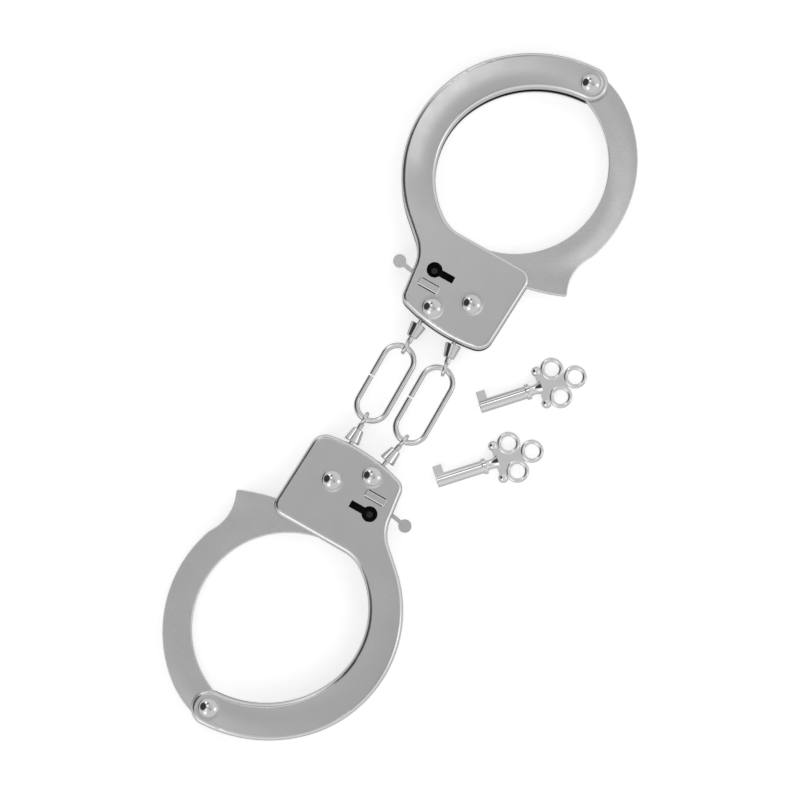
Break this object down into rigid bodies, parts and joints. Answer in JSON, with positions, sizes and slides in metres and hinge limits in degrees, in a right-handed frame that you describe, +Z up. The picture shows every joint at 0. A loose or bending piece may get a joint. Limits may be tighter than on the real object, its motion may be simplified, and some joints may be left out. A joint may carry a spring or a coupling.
{
  "type": "handcuffs",
  "caption": "Double-strand handcuffs with ratchet arms, swivels and chain links, lying with their barrel keys beside the chain.",
  "frame": {"origin": "under the middle of the whole set, cuffs and keys, on the surface it lies on", "axes": "+Y along the chain from cuff 2 to cuff 1, +Z up towards the keyhole side, +X towards the side where the keys lie"},
  "size_m": [0.0878, 0.2416, 0.011],
  "materials": {
    "pressed_steel": "nickel-plated pressed steel, satin flat faces",
    "arm_steel": "nickel-plated steel plate, satin",
    "polished_rivet": "bright polished nickel",
    "inner_steel": "plain steel inside the case",
    "chain_nickel": "bright nickel plate",
    "key_nickel": "bright nickel plate on a casting"
  },
  "bodies": {
    "cuff_1": {"front_plate_1": "pressed_steel", "rear_plate_1": "pressed_steel", "pivot_rivet_1": "polished_rivet", "pawl_rivet_1": "polished_rivet", "case_rivet_1": "polished_rivet", "pivot_washers_1": "inner_steel", "pawl_washers_1": "inner_steel", "pawl_spring_1": "inner_steel", "key_post_1": "inner_steel", "swivel_washers_1": "inner_steel"},
    "arm_1": {"swing_arm_1": "arm_steel"},
    "lock_1": {"pawl_1": "arm_steel"},
    "swivel_1a": {"swivel_eye_1a": "chain_nickel", "swivel_cone_1a": "chain_nickel"},
    "swivel_1b": {"swivel_eye_1b": "chain_nickel", "swivel_cone_1b": "chain_nickel"},
    "cuff_2": {"front_plate_2": "pressed_steel", "rear_plate_2": "pressed_steel", "pivot_rivet_2": "polished_rivet", "pawl_rivet_2": "polished_rivet", "case_rivet_2": "polished_rivet", "pivot_washers_2": "inner_steel", "pawl_washers_2": "inner_steel", "pawl_spring_2": "inner_steel", "key_post_2": "inner_steel", "swivel_washers_2": "inner_steel"},
    "arm_2": {"swing_arm_2": "arm_steel"},
    "lock_2": {"pawl_2": "arm_steel"},
    "swivel_2a": {"swivel_eye_2a": "chain_nickel", "swivel_cone_2a": "chain_nickel"},
    "swivel_2b": {"swivel_eye_2b": "chain_nickel", "swivel_cone_2b": "chain_nickel"},
    "chain_link_a": {"link_a": "chain_nickel"},
    "chain_link_b": {"link_b": "chain_nickel"},
    "loose_key_1": {"key_1": "key_nickel"},
    "loose_key_2": {"key_2": "key_nickel"}
  },
  "joints": [
    {"name": "arm_1_swing", "type": "hinge", "parent": "cuff_1", "child": "arm_1", "pos_m": [-0.00124, 0.1153, 0.0055], "axis": [0, 0, 1], "range_deg": [-10.5, 170]},
    {"name": "pawl_1_lift", "type": "hinge", "parent": "cuff_1", "child": "lock_1", "pos_m": [0.00066, 0.035, 0.0055], "axis": [0, 0, 1], "range_deg": [-4.6, 5], "stiffness_Nm_per_rad": 0.002, "deforming": ["pawl_spring_1"]},
    {"name": "swivel_1a_turn", "type": "hinge", "parent": "cuff_1", "child": "swivel_1a", "pos_m": [-0.01084, 0.01305, 0.0055], "axis": [0, 1, 0], "range_deg": [-25, 25]},
    {"name": "swivel_1b_turn", "type": "hinge", "parent": "cuff_1", "child": "swivel_1b", "pos_m": [0.00326, 0.01305, 0.0055], "axis": [-0.1753, 0.9845, 0], "range_deg": [-25, 25]},
    {"name": "arm_2_swing", "type": "hinge", "parent": "cuff_2", "child": "arm_2", "pos_m": [-0.00804, -0.1153, 0.0055], "axis": [0, 0, 1], "range_deg": [-10.5, 170]},
    {"name": "pawl_2_lift", "type": "hinge", "parent": "cuff_2", "child": "lock_2", "pos_m": [-0.00994, -0.035, 0.0055], "axis": [0, 0, 1], "range_deg": [-4.6, 5], "stiffness_Nm_per_rad": 0.002, "deforming": ["pawl_spring_2"]},
    {"name": "swivel_2a_turn", "type": "hinge", "parent": "cuff_2", "child": "swivel_2a", "pos_m": [-0.01084, -0.01305, 0.0055], "axis": [0, -1, 0], "range_deg": [-25, 25]},
    {"name": "swivel_2b_turn", "type": "hinge", "parent": "cuff_2", "child": "swivel_2b", "pos_m": [0.00326, -0.01305, 0.0055], "axis": [-0.1753, -0.9845, 0], "range_deg": [-25, 25]},
    {"name": "link_a_fold", "type": "hinge", "parent": "cuff_1", "child": "chain_link_a", "pos_m": [-0.01084, 0.01305, 0.0055], "axis": [1, 0, 0], "range_deg": [-90, 90]},
    {"name": "link_b_fold", "type": "hinge", "parent": "cuff_1", "child": "chain_link_b", "pos_m": [0.00326, 0.01305, 0.0055], "axis": [1, 0, 0], "range_deg": [-90, 90]},
    {"name": "cuff_2_fold", "type": "hinge", "parent": "chain_link_a", "child": "cuff_2", "pos_m": [-0.01084, -0.01305, 0.0055], "axis": [1, 0, 0], "range_deg": [-90, 90]},
    {"name": "key_1_lift", "type": "slide", "parent": "cuff_1", "child": "loose_key_1", "axis": [0, 0, 1], "range_m": [0, 0.06]},
    {"name": "key_2_lift", "type": "slide", "parent": "cuff_1", "child": "loose_key_2", "axis": [0, 0, 1], "range_m": [0, 0.06]}
  ],
  "couplings": [
    {"joint": "link_b_fold", "follows": "link_a_fold", "ratio": 1}
  ]
}
